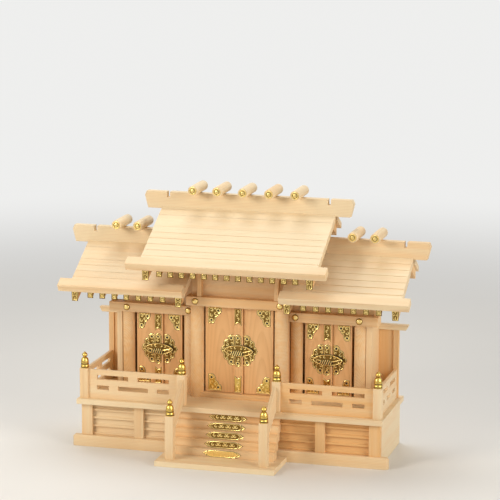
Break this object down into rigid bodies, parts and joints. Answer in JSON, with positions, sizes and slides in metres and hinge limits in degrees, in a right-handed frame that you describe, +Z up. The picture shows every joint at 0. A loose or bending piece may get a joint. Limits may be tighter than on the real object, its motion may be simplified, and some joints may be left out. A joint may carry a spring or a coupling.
{
  "type": "household altar shrine",
  "caption": "Free-standing wooden altar in the form of a stepped-roof three-shrine building with opening double doors, veranda, balustrades and a front stair.",
  "frame": {"origin": "middle of the underside of the front plinth board, on the line of the newel posts of the veranda", "axes": "+X to the right along the front, +Y from the front to the back, +Z up"},
  "size_m": [0.6, 0.2465, 0.4202],
  "materials": {
    "cypress": "planed and left bare",
    "door_cypress": "planed and left bare",
    "gold_metal": "bright gold-plated pressings"
  },
  "bodies": {
    "shrine": {"back_wall": "cypress", "back_wall_upper": "cypress", "balustrade_front": "cypress", "balustrade_side": "cypress", "base_back": "cypress", "base_posts": "cypress", "base_sides": "cypress", "base_siding": "cypress", "columns": "cypress", "deck": "cypress", "door_sills": "cypress", "eave_boards": "cypress", "lintels": "cypress", "log_caps": "gold_metal", "nail_covers": "gold_metal", "newel_finials": "gold_metal", "newel_posts": "cypress", "partition_walls": "cypress", "plinth": "cypress", "rafter_caps": "gold_metal", "rafters_front": "cypress", "rafters_rear": "cypress", "ridge_boards": "cypress", "ridge_logs": "cypress", "roof_centre": "cypress", "roof_left": "cypress", "roof_right": "cypress", "screen_caps": "cypress", "screen_panels": "cypress", "screen_posts": "cypress", "side_walls": "cypress", "stair_base_board": "cypress", "stair_rails": "cypress", "stair_step_1": "cypress", "stair_step_2": "cypress", "stair_step_3": "cypress", "stair_step_4": "cypress", "stair_step_5": "cypress", "struts": "cypress", "upper_walls": "cypress"},
    "door_left_left": {"door_left_left_leaf": "door_cypress", "door_left_left_fittings": "gold_metal"},
    "door_left_right": {"door_left_right_leaf": "door_cypress", "door_left_right_fittings": "gold_metal"},
    "door_centre_left": {"door_centre_left_leaf": "door_cypress", "door_centre_left_fittings": "gold_metal"},
    "door_centre_right": {"door_centre_right_leaf": "door_cypress", "door_centre_right_fittings": "gold_metal"},
    "door_right_left": {"door_right_left_leaf": "door_cypress", "door_right_left_fittings": "gold_metal"},
    "door_right_right": {"door_right_right_leaf": "door_cypress", "door_right_right_fittings": "gold_metal"}
  },
  "joints": [
    {"name": "door_left_left_hinge", "type": "hinge", "parent": "shrine", "child": "door_left_left", "pos_m": [-0.1765, 0.087, 0.1485], "axis": [0, 0, -1], "range_deg": [0, 90]},
    {"name": "door_left_right_hinge", "type": "hinge", "parent": "shrine", "child": "door_left_right", "pos_m": [-0.1075, 0.087, 0.1485], "axis": [0, 0, 1], "range_deg": [0, 90]},
    {"name": "door_centre_left_hinge", "type": "hinge", "parent": "shrine", "child": "door_centre_left", "pos_m": [-0.0525, 0.063, 0.15975], "axis": [0, 0, -1], "range_deg": [0, 90]},
    {"name": "door_centre_right_hinge", "type": "hinge", "parent": "shrine", "child": "door_centre_right", "pos_m": [0.0525, 0.063, 0.15975], "axis": [0, 0, 1], "range_deg": [0, 90]},
    {"name": "door_right_left_hinge", "type": "hinge", "parent": "shrine", "child": "door_right_left", "pos_m": [0.1075, 0.087, 0.1485], "axis": [0, 0, -1], "range_deg": [0, 90]},
    {"name": "door_right_right_hinge", "type": "hinge", "parent": "shrine", "child": "door_right_right", "pos_m": [0.1765, 0.087, 0.1485], "axis": [0, 0, 1], "range_deg": [0, 90]}
  ]
}
